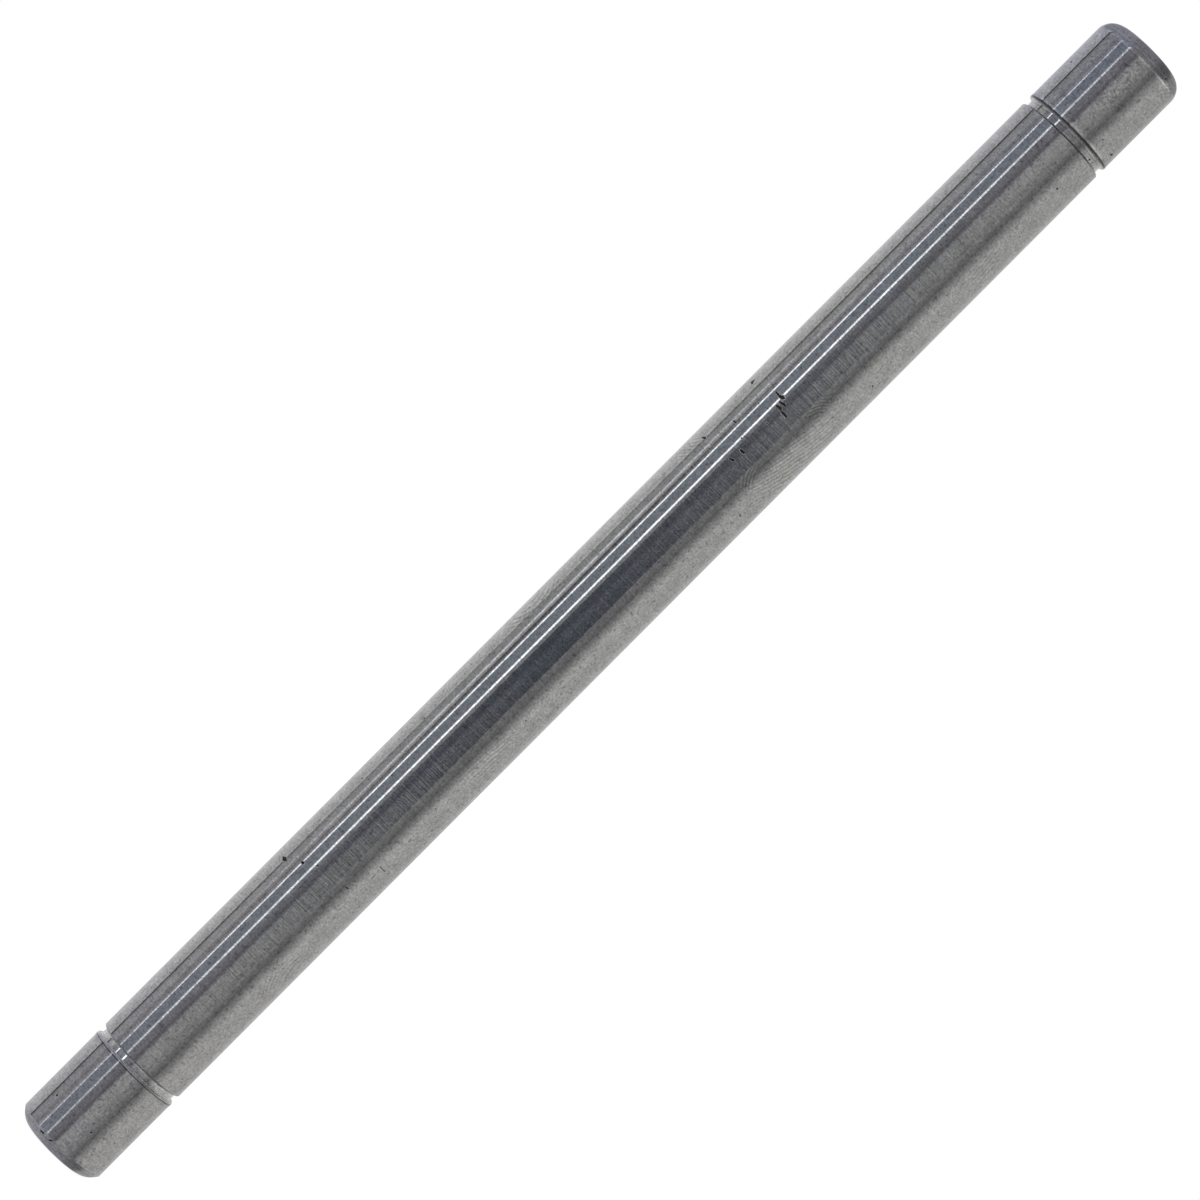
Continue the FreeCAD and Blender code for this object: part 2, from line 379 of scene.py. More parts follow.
class RailMesh:
    """Collects the rail's points and faces. A point is named by its fine row and its fine column."""

    def __init__(self, strips, cells):
        self.strips = strips
        self.cells = cells
        self.names = {}
        self.points = []
        self.faces = []
        self.corners = []

    def point(self, row, column):
        """The number of a point, made when it is first asked for."""
        column %= COLUMNS * FINE_COLUMNS
        strip_row, part = divmod(row, FINE_ROWS)
        if strip_row == len(self.strips):
            strip_row, part = strip_row - 1, FINE_ROWS
        strip = self.strips[strip_row]
        radius, height = strip.low + (strip.high - strip.low) * part / FINE_ROWS
        name = (row, column if radius > 0 else 0)
        if name not in self.names:
            self.names[name] = len(self.points)
            self.points.append((radius, height, column_angle(column)))
        return self.names[name]

    def face(self, strip_row, ring):
        """One face through a ring of fine rows and columns, with what its corners' normals need."""
        numbers = []
        for row, column in ring:
            number = self.point(row, column)
            if number not in numbers:
                numbers.append(number)
                part = (row - strip_row * FINE_ROWS) / FINE_ROWS
                self.corners.append((number, strip_row, part))
        self.faces.append(numbers)

    def stride(self, row):
        """How many fine rows a face takes: more in a short strip, so that no face is needlessly small."""
        strip = self.strips[row]
        halvings = math.floor(math.log2(ROW / np.linalg.norm(strip.high - strip.low)))
        return min(2 ** max(halvings, 0), FINE_ROWS)

    def cell(self, row, column):
        """One cell: a grid of fine faces where a mark is, or one face that meets its finer neighbours."""
        stride = self.stride(row)
        low, high = row * FINE_ROWS, (row + 1) * FINE_ROWS
        left, right = column * FINE_COLUMNS, (column + 1) * FINE_COLUMNS
        if (row, column) in self.cells:
            for fine_row in range(low, high, stride):
                for fine in range(left, right):
                    self.face(row, [(fine_row, fine), (fine_row, fine + 1),
                                    (fine_row + stride, fine + 1), (fine_row + stride, fine)])
            return

        def steps(start, end, neighbour, size=1):
            """Fine steps along an edge that a finer neighbour shares, or its start alone."""
            if neighbour not in self.cells:
                return [start]
            return range(start, end, size if end > start else -size)

        below = [(low, fine) for fine in steps(left, right, (row - 1, column))]
        after = [(fine, right) for fine in steps(low, high, (row, (column + 1) % COLUMNS), stride)]
        above = [(high, fine) for fine in steps(right, left, (row + 1, column))]
        before = [(fine, left) for fine in steps(high, low, (row, (column - 1) % COLUMNS), stride)]
        self.face(row, [*below, *after, *above, *before])


def corner_normals(build, height, around, strokes):
    """The true normal at every face corner: the strip's own, tilted by the slope of any mark."""
    numbers, rows, parts = (np.array(values) for values in zip(*build.corners))
    low = np.array([strip.low_normal for strip in build.strips])[rows]
    high = np.array([strip.high_normal for strip in build.strips])[rows]
    section = low + (high - low) * parts[:, None]
    up_slope = (mark_depth(strokes, height + SLOPE_STEP, around)
                - mark_depth(strokes, height - SLOPE_STEP, around)) / (2 * SLOPE_STEP)
    side_slope = (mark_depth(strokes, height, around + SLOPE_STEP)
                  - mark_depth(strokes, height, around - SLOPE_STEP)) / (2 * SLOPE_STEP)
    angle = around[numbers] / RADIUS
    side = side_slope[numbers]
    normals = np.stack([section[:, 0] * np.sin(angle) + side * np.cos(angle),
                        -section[:, 0] * np.cos(angle) + side * np.sin(angle),
                        section[:, 1] + up_slope[numbers]], axis=1)
    return normals / np.linalg.norm(normals, axis=1, keepdims=True)


def make_rail():
    """The rail as one closed mesh on its true outline, with its marks pressed in."""
    strips = outline_strips()
    strokes = seen_strokes() + hidden_strokes()
    build = RailMesh(strips, fine_cells(strips, strokes))
    for row in range(len(strips)):
        for column in range(COLUMNS):
            build.cell(row, column)

    radius, height, angle = np.array(build.points).T
    around = angle * RADIUS
    pit, rust = mark_masks(strokes, height, around)
    pressed = radius - mark_depth(strokes, height, around)
    places = np.stack([pressed * np.sin(angle), -pressed * np.cos(angle), height], axis=1)

    mesh = bpy.data.meshes.new("ground_rail")
    mesh.from_pydata(places.tolist(), [], build.faces)
    mesh.shade_smooth()
    mesh.normals_split_custom_set(corner_normals(build, height, around, strokes).tolist())
    for name, values in (("pit", pit), ("rust", rust)):
        attribute = mesh.attributes.new(name, "FLOAT", "POINT")
        attribute.data.foreach_set("value", values.astype(np.float32))
    rail = bpy.data.objects.new("ground_rail", mesh)
    bpy.context.scene.collection.objects.link(rail)
    return rail


# Short ways of building node trees

class Graph:
    """A node tree, and short ways of adding to it."""

    def __init__(self, tree):
        self.tree = tree
        tree.nodes.clear()

    def node(self, kind, **settings):
        """A new node with these settings."""
        made = self.tree.nodes.new(kind)
        for name, value in settings.items():
            setattr(made, name, value)
        return made

    def feed(self, socket, value):
        """Links a socket's value in, or sets a plain number or colour."""
        if isinstance(value, bpy.types.NodeSocket):
            self.tree.links.new(value, socket)
        else:
            socket.default_value = value

    def maths(self, operation, *values, clamp=False):
        """A Math node over these values."""
        made = self.node("ShaderNodeMath", operation=operation, use_clamp=clamp)
        for socket, value in zip(made.inputs, values):
            self.feed(socket, value)
        return made.outputs["Value"]

    def step(self, value, start, end, low=0.0, high=1.0):
        """A soft step from low to high as the value goes from start to end."""
        made = self.node("ShaderNodeMapRange", interpolation_type="SMOOTHSTEP")
        for name, item in (("Value", value), ("From Min", start), ("From Max", end),
                           ("To Min", low), ("To Max", high)):
            self.feed(made.inputs[name], item)
        return made.outputs["Result"]

    def blend(self, factor, first, second, kind="MIX"):
        """One colour going over to another, or laid over it in another way."""
        made = self.node("ShaderNodeMix", data_type="RGBA", blend_type=kind)
        self.feed(made.inputs["Factor"], factor)
        self.feed(made.inputs[6], first)
        self.feed(made.inputs[7], second)
        return made.outputs[2]

    def span(self, first, second):
        """The length of a line with these two legs."""
        squares = self.maths("MULTIPLY_ADD", first, first, self.maths("MULTIPLY", second, second))
        return self.maths("SQRT", squares)

    def noise(self, place, noise):
        """Noise over a place, in the place's own units."""
        mapping = self.node("ShaderNodeMapping")
        self.feed(mapping.inputs["Vector"], place)
        mapping.inputs["Location"].default_value = noise.seed
        mapping.inputs["Scale"].default_value = [1 / length for length in noise.size]
        made = self.node("ShaderNodeTexNoise")
        self.feed(made.inputs["Vector"], mapping.outputs["Vector"])
        made.inputs["Scale"].default_value = 1.0
        made.inputs["Detail"].default_value = noise.detail
        made.inputs["Roughness"].default_value = noise.roughness
        return made.outputs["Fac"]


def grey(level, warmth=0.0):
    """A grey light, warmer above nought and bluer below."""
    return (level * (1 + warmth), level, level * (1 - warmth), 1.0)


# The ground steel

STEEL = (0.56, 0.56, 0.56)
STEEL_ANISOTROPY = 0.85
ACROSS_THE_LAY = 0.25
LEAST_ROUGHNESS = 0.065
SMUDGE_ROUGHNESS = 0.04
SPECK_ROUGHNESS = 0.12
SPECK_EDGE = (0.50, 0.80)
DOT_EDGE = (0.62, 0.74)
DOT_SHADE = (1.02, 0.67)

# The noises in it: their grain's size along x, y and z in millimetres, their detail, roughness and seed
Noise = namedtuple("Noise", "size detail roughness seed", defaults=(2.0, 0.5, (0.0, 0.0, 0.0)))
LAY = Noise((0.9, 0.9, 0.20), 2.0, 0.6)
LONG_LAY = Noise((3.0, 3.0, 0.7), seed=(5.0, 1.0, 3.0))
GRAIN = Noise((0.30, 0.30, 0.28), 1.0, 0.6, (2.0, 7.0, 4.0))
SPECKS = Noise((0.30, 0.30, 0.28), 1.0, 0.6, (6.0, 2.0, 9.0))
DOTS = Noise((0.50, 0.50, 0.50), 1.0, seed=(4.0, 9.0, 6.0))
MOTTLE = Noise((1.8, 1.8, 1.8), 3.0, 0.6, (8.0, 8.0, 1.0))
SMUDGES = Noise((7.0, 7.0, 16.0), 4.0, seed=(9.0, 4.0, 2.0))
FEED = Noise((8.0, 8.0, 0.22), 2.0, 0.6, (7.0, 5.0, 2.0))
LONG_FEED = Noise((12.0, 12.0, 0.8), seed=(1.0, 3.0, 6.0))
TOOL_RINGS = Noise((0.22, 1.0, 1.0), 2.0, 0.6)
RIPPLES = Noise((0.34, 0.34, 0.30), 1.0, seed=(2.0, 5.0, 5.0))
RIDGE_WARPS = Noise((1.6, 1.6, 1.6), 1.0, seed=(3.0, 3.0, 8.0))

# What lightens and darkens the steel: a noise, how strongly, and the shade where the noise is nought
SHADES = [(LAY, 0.44, 0.78), (GRAIN, 1.10, 0.45), (MOTTLE, 0.50, 0.75), (LONG_LAY, 0.20, 0.90)]

# The grinding lines' relief: the share of the long ones and of the grain, and how high a noise of 1 stands
LONG_FEED_RELIEF = 1.6
GRAIN_RELIEF = 0.03
RELIEF_HEIGHT = 0.005 * MM
RELIEF_FADE = (0.0, 0.5)

# What lies in the marks: rust, and a near-black that is dirt together with painted shade of the pits'
# depth; how far the grain frays the edges of a pit and of its rust, where both edges lie, and how little
# rust the pit's core shows
PIT_DIRT_AND_SHADE = (0.005, 0.0045, 0.004, 1.0)
RUST_COLOUR = (0.036, 0.019, 0.009, 1.0)
PIT_GRAIN = 0.3
PIT_EDGE = (0.35, 0.70)
PIT_ROUGHNESS = 0.75
PIT_METALLIC = 0.1
RUST_GRAIN = 0.5
RUST_EDGE = (0.45, 1.15)
CORE_EDGE = (0.70, 1.0)
CORE_RUST = (1.0, 0.25)

# Rings of painted shade and painted highlight along each groove: dark at its edges and corners, light beside
# its walls, and over its floor lighter or darker as a whole. A ring gives the wall that it lies by, how far
# out from it its middle is and its half width in millimetres, and how much it darkens or lightens. RING_EDGE
# says over which half widths a ring fades.
Ring = namedtuple("Ring", "wall out half tone")
RINGS = [
    [Ring("outer", 0.33, 0.09, 0.38), Ring("outer", 0.08, 0.12, 1.4), Ring("inner", 0.32, 0.12, 1.2),
     Ring("inner", 0.06, 0.07, 0.36), Ring("outer", -0.50, 0.5, 1.12)],
    [Ring("outer", 0.18, 0.11, 0.18), Ring("inner", 0.07, 0.08, 0.45), Ring("outer", -0.50, 0.5, 0.86)],
]
RING_EDGE = (0.5, 1.5)

# Cut by a tool and not ground is what lies deeper than CUT_DEPTH, in millimetres: the grooves and the two
# ends, with the tool's rings. The groove floors scatter soft light, and so do the lower groove's worn walls.
CUT_DEPTH = 0.03
CUT_BLEND = 0.08
CUT_CONTRAST = 0.85
CUT_ROUGHNESS = 0.045
CUT_SHEEN = 1.0
WORN_SHEEN = 0.4
WORN_ROUGHNESS = 0.4
SHEEN_ROUGHNESS = 0.4
SHEEN_TINT = (0.96, 0.95, 1.0, 1.0)
FLOOR_EDGE = (0.04, 0.10)
GROOVES_END = (UPPER_GROOVE - MIDDLE + 2 * GROOVE_WIDTH) / MM

# Finger marks on the front: the middle and half size of each patch, the middle that its ridges curve round,
# their pitch and their strength, in millimetres along and across the rail from the middle of its picture.
# RIDGE_WARP is how far, in radians, noise bends the ridges.
Print = namedtuple("Print", "along across half_along half_across ridge_along ridge_across pitch strength")
PRINTS = [
    Print(28.95, 4.43, 9.2, 2.1, 38.2, -43.0, 0.39, 0.19),
    Print(23.16, 2.22, 2.2, 1.1, 25.3, 5.6, 0.40, 0.24),
    Print(35.36, 2.22, 2.4, 1.1, 33.3, 5.6, 0.40, 0.20),
    Print(-34.25, 0.25, 1.6, 1.3, -36.0, 0.5, 0.36, 0.22),
    Print(20.94, -5.42, 2.4, 0.8, 26.0, -12.0, 0.38, 0.16),
    Print(-6.20, -5.30, 4.8, 0.9, -6.0, -11.0, 0.45, 0.18),
    Print(92.60, 4.90, 1.6, 1.1, 89.0, 11.0, 0.40, 0.12),
    Print(-23.41, 3.94, 5.5, 1.6, -26.0, 50.0, 0.40, 0.13),
    Print(-60.00, 4.60, 4.0, 1.2, -58.0, 12.0, 0.40, 0.12),
    Print(62.00, 4.30, 4.5, 1.3, 60.0, -20.0, 0.40, 0.12),
]
RIDGE_WARP = 5.0

# Rippled skin like orange peel: the middle and half size of each patch and its strength
Peel = namedtuple("Peel", "along across half_along half_across strength")
PEELS = [
    Peel(88.60, 0.40, 4.9, 1.9, 1.50),
    Peel(91.50, 4.60, 2.4, 1.4, 0.50),
    Peel(-6.20, -5.30, 5.0, 1.0, 0.55),
    Peel(20.00, -5.30, 4.0, 0.9, 0.55),
    Peel(-87.00, 1.50, 5.5, 3.2, 0.62),
]
PEEL_EDGE = (0.34, 0.66)
PEEL_SHADE = (-0.15, 0.15)

# Where a patch fades, in its half sizes, and where the front ends, in millimetres from the rail's axis
PATCH_EDGE = (0.5, 1.1)
FRONT_EDGE = (-1.0, 1.0)


def shade_and_highlight_rings(graph, height, shade):
    """The shade with the rings of painted shade and painted highlight laid over it, by height in
    millimetres.
    """
    start, end = RING_EDGE
    for groove, rings in zip(GROOVES, RINGS):
        outer, inner = walls(groove)
        for ring in rings:
            middle = (outer if ring.wall == "outer" else inner) / MM + groove.outward * ring.out
            off = graph.maths("ABSOLUTE", graph.maths("SUBTRACT", height, middle))
            tone = graph.step(off, ring.half * start, ring.half * end, ring.tone, 1.0)
            shade = graph.maths("MULTIPLY", shade, tone)
    return shade


def away(graph, parts, along, across, half_along=1.0, half_across=1.0):
    """Distance from a place in the picture's plane, counted in these half sizes."""
    up = graph.maths("SUBTRACT", parts.outputs["Z"], along + MIDDLE / MM)
    side = graph.maths("SUBTRACT", parts.outputs["X"], across)
    return graph.span(graph.maths("DIVIDE", up, half_along), graph.maths("DIVIDE", side, half_across))


def finger_marks(graph, place, parts):
    """How much lighter or darker the ridges and the rippled patches make a place on the front."""
    warp = graph.maths("MULTIPLY", graph.noise(place, RIDGE_WARPS), RIDGE_WARP)
    peel = graph.step(graph.noise(place, RIPPLES), *PEEL_EDGE, *PEEL_SHADE)
    total = 0.0
    for mark in PRINTS:
        off = away(graph, parts, mark.along, mark.across, mark.half_along, mark.half_across)
        turn = away(graph, parts, mark.ridge_along, mark.ridge_across)
        ridge = graph.maths("SINE", graph.maths("MULTIPLY_ADD", turn, 2 * math.pi / mark.pitch, warp))
        strength = graph.step(off, *PATCH_EDGE, mark.strength, 0.0)
        total = graph.maths("MULTIPLY_ADD", ridge, strength, total)
    for patch in PEELS:
        off = away(graph, parts, patch.along, patch.across, patch.half_along, patch.half_across)
        strength = graph.step(off, *PATCH_EDGE, patch.strength, 0.0)
        total = graph.maths("MULTIPLY_ADD", peel, strength, total)
    return graph.maths("MULTIPLY", total, graph.step(parts.outputs["Y"], *FRONT_EDGE, 1.0, 0.0))


Cut = namedtuple("Cut", "share rings worn sheen")


def cut_steel(graph, parts):
    """Where the steel is cut, its tool rings, the lower groove's worn walls and how much sheen there is."""
    flat = graph.span(parts.outputs["X"], parts.outputs["Y"])
    height = parts.outputs["Z"]
    from_middle = graph.maths("ABSOLUTE", graph.maths("SUBTRACT", height, MIDDLE / MM))
    inset = RADIUS / MM - CUT_DEPTH
    share = graph.step(flat, inset - CUT_BLEND, inset, 1.0, 0.0)

    # Noise along the outline, the same all the way round
    along = graph.node("ShaderNodeCombineXYZ")
    graph.feed(along.inputs["X"], graph.maths("SUBTRACT", from_middle, flat))
    rings = graph.noise(along.outputs["Vector"], TOOL_RINGS)
    rings = graph.maths("MULTIPLY_ADD", rings, 2 * CUT_CONTRAST, -CUT_CONTRAST)

    in_groove = graph.maths("MULTIPLY", share, graph.maths("LESS_THAN", from_middle, GROOVES_END))
    in_lower = graph.maths("MULTIPLY", in_groove, graph.maths("LESS_THAN", height, MIDDLE / MM))
    low = graph.step(graph.maths("SUBTRACT", flat, FLOOR_RADIUS / MM), *FLOOR_EDGE, 1.0, 0.0)
    floor = graph.maths("MULTIPLY", in_groove, low)
    worn = graph.maths("MULTIPLY", in_lower, graph.maths("SUBTRACT", 1.0, low))
    sheen = graph.maths("MULTIPLY_ADD", worn, WORN_SHEEN, graph.maths("MULTIPLY", floor, CUT_SHEEN))
    return Cut(share, rings, worn, sheen)


def steel_shade(graph, place, parts, cut):
    """How light the steel is: noises, dark dots, finger marks, tool rings, painted shade and highlights."""
    shade = graph.step(graph.noise(place, DOTS), *DOT_EDGE, *DOT_SHADE)
    for noise, gain, base in SHADES:
        layer = graph.maths("MULTIPLY_ADD", graph.noise(place, noise), gain, base)
        shade = graph.maths("MULTIPLY", shade, layer)
    shade = graph.maths("MULTIPLY", shade, graph.maths("ADD", finger_marks(graph, place, parts), 1.0))
    # Rings of painted shade and painted highlight along the grooves
    shade = shade_and_highlight_rings(graph, parts.outputs["Z"], shade)
    return graph.maths("MULTIPLY", shade, graph.maths("MULTIPLY_ADD", cut.rings, cut.share, 1.0))


def steel_relief(graph, place, grain, cut):
    """Grinding lines round the rail, and none where it is cut."""
    feed = graph.noise(place, FEED)
    relief = graph.maths("MULTIPLY_ADD", graph.noise(place, LONG_FEED), LONG_FEED_RELIEF, feed)
    relief = graph.maths("MULTIPLY_ADD", grain, GRAIN_RELIEF, relief)
    relief = graph.maths("MULTIPLY", relief, graph.step(cut.share, *RELIEF_FADE, 1.0, 0.0))
    bump = graph.node("ShaderNodeBump")
    bump.inputs["Strength"].default_value = 1.0
    bump.inputs["Distance"].default_value = RELIEF_HEIGHT
    graph.feed(bump.inputs["Height"], relief)
    return bump.outputs["Normal"]


def ground_steel():
    """Ground steel with its handling marks, tool marks, rust, and dirt with painted shade in its pits."""
    material = bpy.data.materials.new("ground_steel")
    material.use_nodes = True
    graph = Graph(material.node_tree)
    scale = graph.node("ShaderNodeVectorMath", operation="SCALE")
    graph.feed(scale.inputs[0], graph.node("ShaderNodeTexCoord").outputs["Object"])
    scale.inputs["Scale"].default_value = 1 / MM
    place = scale.outputs["Vector"]
    parts = graph.node("ShaderNodeSeparateXYZ")
    graph.feed(parts.inputs[0], place)
    cut = cut_steel(graph, parts)
    grain = graph.noise(place, GRAIN)

    # What lies in the marks: rust, and dirt with painted shade in the pits
    pit_value = graph.node("ShaderNodeAttribute", attribute_name="pit").outputs["Fac"]
    rust_value = graph.node("ShaderNodeAttribute", attribute_name="rust").outputs["Fac"]
    pit = graph.step(graph.maths("MULTIPLY_ADD", grain, PIT_GRAIN, pit_value), *PIT_EDGE)
    rust = graph.step(graph.maths("MULTIPLY_ADD", grain, RUST_GRAIN, rust_value), *RUST_EDGE)
    rust = graph.maths("MULTIPLY", rust, graph.step(pit_value, *CORE_EDGE, *CORE_RUST))
    pit_dirt_and_shade = graph.blend(rust, PIT_DIRT_AND_SHADE, RUST_COLOUR)

    tone = graph.node("ShaderNodeVectorMath", operation="SCALE")
    tone.inputs[0].default_value = STEEL
    graph.feed(tone.inputs["Scale"], steel_shade(graph, place, parts, cut))
    colour = graph.blend(pit, tone.outputs["Vector"], pit_dirt_and_shade)

    # Gloss: duller where it is smudged, in specks and on the worn walls, and dull in the pits
    clean = graph.maths("MULTIPLY_ADD", graph.noise(place, SMUDGES), SMUDGE_ROUGHNESS, LEAST_ROUGHNESS)
    clean = graph.step(graph.noise(place, SPECKS), *SPECK_EDGE, clean, SPECK_ROUGHNESS)
    clean = graph.step(cut.share, 0.0, 1.0, clean, CUT_ROUGHNESS)
    clean = graph.step(cut.worn, 0.0, 1.0, clean, WORN_ROUGHNESS)

    steel = graph.node("ShaderNodeBsdfPrincipled")
    graph.feed(steel.inputs["Base Color"], colour)
    graph.feed(steel.inputs["Metallic"], graph.step(pit, 0.0, 1.0, 1.0, PIT_METALLIC))
    graph.feed(steel.inputs["Roughness"], graph.step(pit, 0.0, 1.0, clean, PIT_ROUGHNESS))
    graph.feed(steel.inputs["Normal"], steel_relief(graph, place, grain, cut))
    graph.feed(steel.inputs["Sheen Weight"], cut.sheen)
    steel.inputs["Sheen Roughness"].default_value = SHEEN_ROUGHNESS
    steel.inputs["Sheen Tint"].default_value = SHEEN_TINT
    steel.inputs["Anisotropic"].default_value = STEEL_ANISOTROPY
    steel.inputs["Anisotropic Rotation"].default_value = ACROSS_THE_LAY
    tangent = graph.node("ShaderNodeTangent", direction_type="RADIAL", axis="Z")
    graph.feed(steel.inputs["Tangent"], tangent.outputs["Tangent"])
    output = graph.node("ShaderNodeOutputMaterial")
    graph.feed(output.inputs["Surface"], steel.outputs["BSDF"])
    return material


# The studio that the steel mirrors. A band is a stretch of wall round the rail, in degrees from the
# camera's side, positive to the side of +X, with a soft start and end. Some show only in the middle of the
# wall's height or only at its ends: within or beyond a reach from a level, in degrees of elevation.

Band = namedtuple("Band", "name start start_soft end end_soft light where reach fade level",
                  defaults=("all", 0.0, 0.0, -0.3))

ROOM = (0.505, 0.503, 0.483, 1)
BANDS = [
    Band("right wall by the back", 138, 16, 230, 1, grey(0.59, 0.01)),
    Band("right wall's light", 62, 8, 90, 10, (0.565, 0.565, 0.545, 1), "middle", 2.2, 1.8, -2.0),
    Band("left wall", -230, 1, -102.3, 1.0, (0.640, 0.637, 0.640, 1)),
    Band("left wall by the back", -230, 1, -141, 11, (0.690, 0.695, 0.710, 1)),
    Band("left wall's shade", -121, 9, -102.3, 1.0, (0.520, 0.518, 0.525, 1)),
    Band("left wall's middle", -113, 3, -102.3, 1.0, (0.585, 0.587, 0.590, 1), "middle", 3.6, 1.8),
    Band("left panel", -102.3, 1.2, -66, 1.5, (0.345, 0.345, 0.358, 1)),
    Band("left panel's shade", -102.3, 1.2, -96.0, 1.6, (0.285, 0.283, 0.300, 1), "ends", 3.6, 1.6),
    Band("panel's lower patch", -96.5, 1.5, -80, 1.5, grey(0.49), "middle", 0.7, 0.4, -5.1),
    Band("panel's upper patch", -96.5, 1.5, -80, 1.5, grey(0.49), "middle", 0.7, 0.4, 4.9),
    Band("panel's edge", -104.4, 0.7, -99.8, 0.7, (0.085, 0.085, 0.094, 1)),
    Band("panel's edge in the middle", -104.4, 0.7, -99.8, 0.7, grey(0.34, -0.02),
         "middle", 3.2, 1.4, -0.8),
    Band("panel's dark half", -77.0, 2, -66, 1.5, (0.275, 0.275, 0.300, 1)),
    Band("panel's light", -85.5, 1.2, -73.6, 1.0, grey(0.43), "middle", 3.8, 0.9),
    Band("panel's bright line", -83.4, 0.4, -78.6, 0.6, grey(0.94), "middle", 2.9, 0.5),
    Band("slot", -72.4, 0.8, -65.0, 0.9, (0.050, 0.060, 0.078, 1), "middle", 1.9, 0.9),
    Band("blue panel", -64.5, 1.0, -26.5, 1.2, (0.243, 0.262, 0.302, 1)),
    Band("first tube", -62.0, 0.4, -59.2, 0.4, (0.36, 0.355, 0.405, 1)),
    Band("first tube's lower end", -62.1, 0.4, -59.0, 0.4, (0.60, 0.61, 0.66, 1),
         "middle", 14.0, 0.6, -14.0),
    Band("first tube in the middle", -62.1, 0.4, -59.0, 0.4, (1.68, 1.72, 1.80, 1),
         "middle", 6.4, 1.0, 0.5),
    Band("first tube on the lips", -62.1, 0.4, -59.0, 0.4, (0.78, 0.79, 0.84, 1), "ends", 10.0, 1.0, 0.0),
    Band("front", -31.5, 1.2, 61, 15, (0.205, 0.205, 0.208, 1)),
    Band("front's left", -31.5, 1.2, -15.5, 2, (0.228, 0.228, 0.250, 1)),
    Band("beside the second tube", -32.5, 0.8, -25.3, 1.0, (0.268, 0.288, 0.320, 1), "middle", 3.4, 2.0),
    Band("second tube", -36.9, 0.4, -32.8, 0.5, (0.42, 0.42, 0.46, 1)),
    Band("second tube in the middle", -36.9, 0.4, -32.8, 0.5, grey(1.92, -0.01), "middle", 5.8, 3.0, 0.4),
    Band("second tube on the lips", -36.9, 0.4, -32.8, 0.5, grey(1.0), "ends", 10.0, 1.0, 0.0),
    Band("front glow's right", 14, 4, 35, 5, grey(0.300), "ends", 3.2, 1.0),
    Band("front glow", -6.2, 3.2, 20, 7, grey(0.41), "ends", 4.2, 2.6),
    Band("front line", -15.5, 2, -9.5, 2, (0.170, 0.170, 0.185, 1)),
    Band("above the camera", -24.6, 0.9, 26.8, 1.2, (0.118, 0.126, 0.148, 1), "middle", 1.7, 1.4, 1.7),
    Band("camera", -24.6, 0.9, 26.8, 1.0, (0.054, 0.066, 0.088, 1), "middle", 2.3, 0.6, -1.0),
    Band("camera's face", -5, 3, 4, 3, (0.070, 0.083, 0.106, 1), "middle", 2.2, 0.8, -1.0),
    Band("camera's right", 9, 5, 26.8, 1.0, (0.040, 0.049, 0.066, 1), "middle", 2.0, 1.0, -0.9),
    Band("front's far edge", 43.5, 2.5, 48.5, 2.5, (0.165, 0.168, 0.166, 1)),
]

# Above the walls' own height their light grows, before the room overhead takes over
RIM_START = 10.0
RIM_END = 13.0
RIM_LIGHT = grey(1.45)

# The walls bend away to the left towards their ends: degrees of turn by elevation squared and by elevation
WALL_BEND = 0.014
WALL_BEND_END = 9.0
WALL_LEAN = 0.03

# Overhead and underfoot, in bands by how far round the rail the place that mirrors them lies. They take
# over from the walls between DOME_START and DOME_END degrees up or down, and DOME_SINK lower at the back.
DOME = (0.360, 0.355, 0.380, 1)
DOME_BANDS = [
    Band("front overhead", -42, 25, 400, 1, (0.268, 0.264, 0.282, 1)),
    Band("right overhead by the back", 88, 14, 400, 1, (0.350, 0.350, 0.348, 1)),
    Band("right overhead", 36, 18, 88, 14, (0.150, 0.148, 0.155, 1)),
]
UNDERFOOT = grey(1.18)
HORIZON = (-5.0, 5.0)
DOME_START = 22.0
DOME_END = 38.0
DOME_SINK = 18.0
DOME_SINK_START = 100.0
DOME_SINK_END = 125.0

# The colour that the light takes on towards the rail's upper end, to the left and to the right, and towards
# its lower end
CAST_START = 5.2
CAST_END = 8.6
UPPER_LEFT_CAST = (0.878, 0.890, 0.990, 1)
UPPER_RIGHT_CAST = (0.925, 0.920, 0.935, 1)
LEFT_CAST_START = -60.0
LEFT_CAST_END = -15.0
LOWER_CAST = (1.0, 0.985, 1.02, 1)
WHITE = (1, 1, 1, 1)

DAYLIGHT = 1.5
BACKDROP = 1.0


def band_light(graph, bands, seen, azimuth, elevation):
    """Lays bands of wall over what is seen so far."""
    for band in bands:
        rise = graph.step(azimuth, band.start - band.start_soft, band.start + band.start_soft)
        fall = graph.step(azimuth, band.end - band.end_soft, band.end + band.end_soft, 1.0, 0.0)
        share = graph.maths("MULTIPLY", rise, fall)
        if band.where != "all":
            height = graph.maths("ABSOLUTE", graph.maths("SUBTRACT", elevation, band.level))
            inner = (1.0, 0.0) if band.where == "middle" else (0.0, 1.0)
            near = graph.step(height, band.reach - band.fade, band.reach + band.fade, *inner)
            share = graph.maths("MULTIPLY", share, near)
        seen = graph.blend(share, seen, band.light)
    return seen


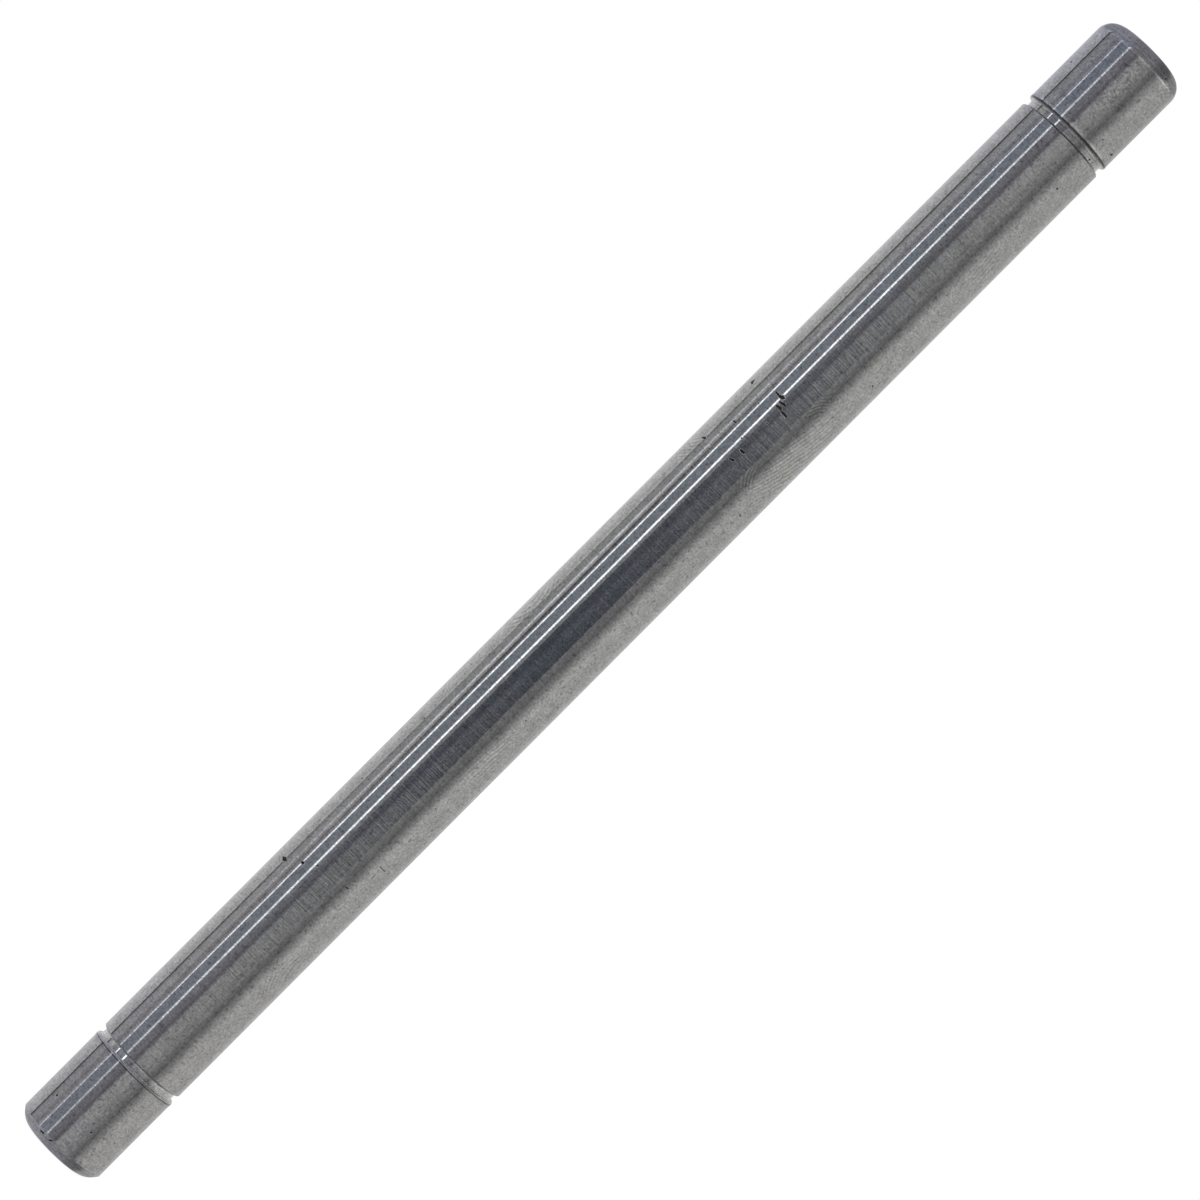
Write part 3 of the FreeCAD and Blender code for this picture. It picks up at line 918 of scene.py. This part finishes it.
def studio():
    """A white room for the eye and for soft light, with the bands of wall that the steel mirrors."""
    world = bpy.data.worlds.new("studio")
    bpy.context.scene.world = world
    world.use_nodes = True
    world.cycles.sampling_method = "NONE"
    graph = Graph(world.node_tree)
    direction = graph.node("ShaderNodeTexCoord").outputs["Generated"]
    parts = graph.node("ShaderNodeSeparateXYZ")
    graph.feed(parts.inputs[0], direction)
    x, y, z = parts.outputs
    azimuth = graph.maths("DEGREES", graph.maths("ARCTAN2", x, graph.maths("MULTIPLY", y, -1.0)))
    elevation = graph.maths("DEGREES", graph.maths("ARCSINE", z))
    low = graph.maths("MINIMUM", graph.maths("ABSOLUTE", elevation), WALL_BEND_END)
    bend = graph.maths("MULTIPLY", low, graph.maths("MULTIPLY", low, WALL_BEND))
    bend = graph.maths("MULTIPLY_ADD", elevation, WALL_LEAN, bend)
    fan = graph.maths("DEGREES", graph.maths("ARCTAN2", x, graph.maths("SUBTRACT", 1.0, y)))
    fan = graph.maths("MULTIPLY", fan, 2.0)

    round_about = band_light(graph, BANDS, ROOM, graph.maths("ADD", azimuth, bend), elevation)
    rim = graph.blend(1.0, round_about, RIM_LIGHT, "MULTIPLY")
    round_about = graph.blend(graph.step(elevation, RIM_START, RIM_END), round_about, rim)
    dome = band_light(graph, DOME_BANDS, DOME, fan, elevation)
    under = graph.step(elevation, *HORIZON, 1.0, 0.0)
    dome = graph.blend(under, dome, graph.blend(1.0, dome, UNDERFOOT, "MULTIPLY"))
    sink = graph.step(graph.maths("ABSOLUTE", azimuth), DOME_SINK_START, DOME_SINK_END, 0.0, DOME_SINK)
    height = graph.maths("ADD", graph.maths("ABSOLUTE", elevation), sink)
    seen = graph.blend(graph.step(height, DOME_START, DOME_END), round_about, dome)

    rightward = graph.step(azimuth, LEFT_CAST_START, LEFT_CAST_END)
    upper = graph.blend(rightward, UPPER_LEFT_CAST, UPPER_RIGHT_CAST)
    cast = graph.blend(graph.step(elevation, CAST_START, CAST_END), WHITE, upper)
    cast = graph.blend(graph.step(elevation, -CAST_END, -CAST_START, 1.0, 0.0), cast, LOWER_CAST)
    seen = graph.blend(1.0, seen, cast, "MULTIPLY")

    ray = graph.node("ShaderNodeLightPath")
    plain = graph.blend(ray.outputs["Is Camera Ray"], grey(DAYLIGHT), grey(BACKDROP))
    background = graph.node("ShaderNodeBackground")
    graph.feed(background.inputs["Color"], graph.blend(ray.outputs["Is Glossy Ray"], plain, seen))
    output = graph.node("ShaderNodeOutputWorld")
    graph.feed(output.inputs["Surface"], background.outputs["Background"])


# The floor and the camera

TABLE_RADIUS = 2.0
TABLE_SIDES = 96
TABLE_COLOUR = (0.08, 0.08, 0.08, 1)
TABLE_GLOW = 0.95


def white_table():
    """A table that glows white by itself, so that it shows no edge behind the rail."""
    turns = [side * 2 * math.pi / TABLE_SIDES for side in range(TABLE_SIDES)]
    rim = [(TABLE_RADIUS * math.cos(turn), TABLE_RADIUS * math.sin(turn), 0) for turn in turns]
    mesh = bpy.data.meshes.new("table")
    mesh.from_pydata(rim, [], [list(range(TABLE_SIDES))])
    table = bpy.data.objects.new("table", mesh)
    bpy.context.scene.collection.objects.link(table)
    table.visible_glossy = False
    material = bpy.data.materials.new("table")
    material.use_nodes = True
    graph = Graph(material.node_tree)
    surface = graph.node("ShaderNodeBsdfPrincipled")
    surface.inputs["Base Color"].default_value = TABLE_COLOUR
    surface.inputs["Roughness"].default_value = 1.0
    surface.inputs["Specular IOR Level"].default_value = 0.0
    surface.inputs["Emission Color"].default_value = (1, 1, 1, 1)
    surface.inputs["Emission Strength"].default_value = TABLE_GLOW
    output = graph.node("ShaderNodeOutputMaterial")
    graph.feed(output.inputs["Surface"], surface.outputs["BSDF"])
    mesh.materials.append(material)


def camera():
    """The photograph's camera, level with the rail's middle and rolled so that the rail leans right."""
    data = bpy.data.cameras.new("camera")
    data.lens = LENS
    data.sensor_width = SENSOR
    data.shift_x = -PICTURE_RIGHT / PICTURE
    data.shift_y = PICTURE_DOWN / PICTURE
    made = bpy.data.objects.new("camera", data)
    made.location = (0, -DISTANCE, MIDDLE)
    made.rotation_euler = (math.pi / 2, ROLL, 0)
    bpy.context.scene.collection.objects.link(made)
    bpy.context.scene.camera = made


camera()
studio()
white_table()
rail = make_rail()
rail.data.materials.append(ground_steel())
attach(rail, "root")
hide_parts(NODE)
bpy.context.scene.view_settings.view_transform = "Standard"
